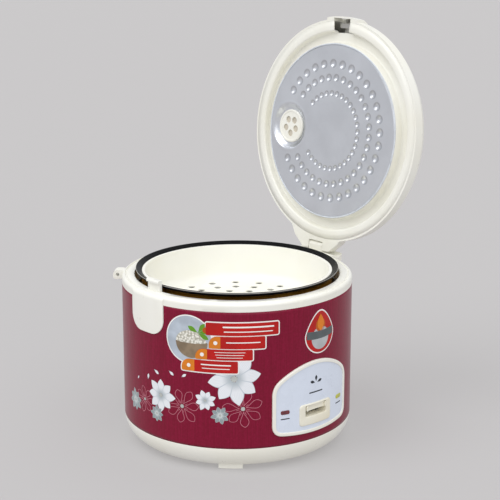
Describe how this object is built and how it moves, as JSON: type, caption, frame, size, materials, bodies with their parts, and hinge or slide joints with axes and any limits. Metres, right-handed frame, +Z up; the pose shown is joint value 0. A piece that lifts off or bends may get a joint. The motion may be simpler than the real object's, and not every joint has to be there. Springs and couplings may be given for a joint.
{
  "type": "rice cooker",
  "caption": "Jar rice cooker with a hinged latching lid, coated inner pot, lift-out steamer basket, one cooking lever with two lamps, and a round sleeve body.",
  "frame": {"origin": "middle of the four feet, on the surface they stand on", "axes": "+Z up along the pot's axis, lid hinge at +Y, latch at -Y, control panel facing +X"},
  "size_m": [0.2614, 0.3246, 0.4592],
  "materials": {
    "cream_plastic": "smooth moulded gloss",
    "coloured_steel": "printed gloss lacquer on sheet steel",
    "panel_print": "printed satin sheet",
    "lever_plastic": "smooth moulded gloss",
    "red_lens": "tinted clear",
    "yellow_lens": "tinted clear",
    "galvanised_steel": "plain sheet",
    "cast_aluminium": "turned casting",
    "satin_aluminium": "satin anodised",
    "pot_coating": "baked non-stick coating",
    "basket_plastic": "smooth moulded",
    "black_plastic": "fine texture",
    "white_nylon": "plain",
    "foot_rubber": "matt",
    "gasket_rubber": "soft clear silicone",
    "plated_steel": "bright zinc plate",
    "pin_brass": "plain",
    "magnet_black": "plain",
    "fuse_sleeve": "woven glass",
    "band_mica": "mica sheet"
  },
  "bodies": {
    "housing": {"outer_sleeve": "coloured_steel", "upper_ring": "cream_plastic", "latch_catch": "cream_plastic", "base_cover": "cream_plastic", "foot_pads": "foot_rubber", "base_screws": "plated_steel", "inner_housing": "galvanised_steel", "heating_plate": "cast_aluminium", "heating_element": "galvanised_steel", "sensor_guide": "galvanised_steel", "sensor_spring": "plated_steel", "warm_band": "band_mica", "thermal_fuse": "fuse_sleeve", "terminal_block": "white_nylon", "lever_bracket": "galvanised_steel", "lever_pin": "plated_steel", "microswitch": "black_plastic", "panel_bezel": "cream_plastic", "panel_face": "panel_print", "lever_bezel": "cream_plastic", "inlet_socket": "black_plastic", "inlet_pins": "pin_brass", "hinge_pin": "plated_steel", "hinge_spring": "plated_steel", "cook_lamp": "red_lens", "warm_lamp": "yellow_lens"},
    "pot": {"inner_pot": "pot_coating"},
    "basket": {"steamer_basket": "basket_plastic"},
    "lid": {"lid_cover": "cream_plastic", "lid_liner": "cream_plastic", "lid_plate": "satin_aluminium", "lid_gasket": "gasket_rubber", "vent_disc": "cream_plastic", "latch_spring": "plated_steel"},
    "steam_cap": {"vent_cap": "cream_plastic"},
    "button": {"latch_button": "cream_plastic"},
    "bolt": {"latch_bolt": "plated_steel"},
    "lever": {"cook_lever": "lever_plastic"},
    "magnet": {"magnet_rod": "magnet_black"},
    "sensor": {"sensor_cap": "satin_aluminium"}
  },
  "joints": [
    {"name": "lid_hinge", "type": "hinge", "parent": "housing", "child": "lid", "pos_m": [0, 0.136, 0.193], "axis": [-1, 0, 0], "range_deg": [-96.4, 0], "stiffness_Nm_per_rad": 0.12, "springref_deg": 28.65, "deforming": ["hinge_spring"]},
    {"name": "pot_lift", "type": "slide", "parent": "housing", "child": "pot", "axis": [0, 0, 1], "range_m": [0, 0.13]},
    {"name": "basket_lift", "type": "slide", "parent": "pot", "child": "basket", "axis": [0, 0, 1], "range_m": [0, 0.06]},
    {"name": "steam_cap_lift", "type": "slide", "parent": "lid", "child": "steam_cap", "axis": [0, 0.9938, -0.1115], "range_m": [0, 0.01]},
    {"name": "cook_lever", "type": "hinge", "parent": "housing", "child": "lever", "pos_m": [0.06799, -0.00119, 0.046], "axis": [-0.0175, -0.9998, 0], "range_deg": [-5.2, 0], "stiffness_Nm_per_rad": 0.3, "springref_deg": 8.59},
    {"name": "magnet_lift", "type": "slide", "parent": "housing", "child": "magnet", "axis": [0, 0, 1], "range_m": [0, 0.0063]},
    {"name": "sensor_press", "type": "slide", "parent": "housing", "child": "sensor", "axis": [0, 0, 1], "range_m": [-0.003, 0], "stiffness_N_per_m": 400, "springref_m": 0.002, "deforming": ["sensor_spring"]},
    {"name": "latch_press", "type": "slide", "parent": "lid", "child": "button", "axis": [0, -0.9938, 0.1115], "range_m": [0, 0.0024], "stiffness_N_per_m": 700, "springref_m": -0.002},
    {"name": "latch_bolt_slide", "type": "slide", "parent": "lid", "child": "bolt", "axis": [0, 0.1115, 0.9938], "range_m": [0, 0.0024], "deforming": ["latch_spring"]}
  ],
  "couplings": [
    {"joint": "magnet_lift", "follows": "cook_lever", "m_per_rad": -0.068},
    {"joint": "latch_bolt_slide", "follows": "latch_press", "ratio": 1}
  ]
}
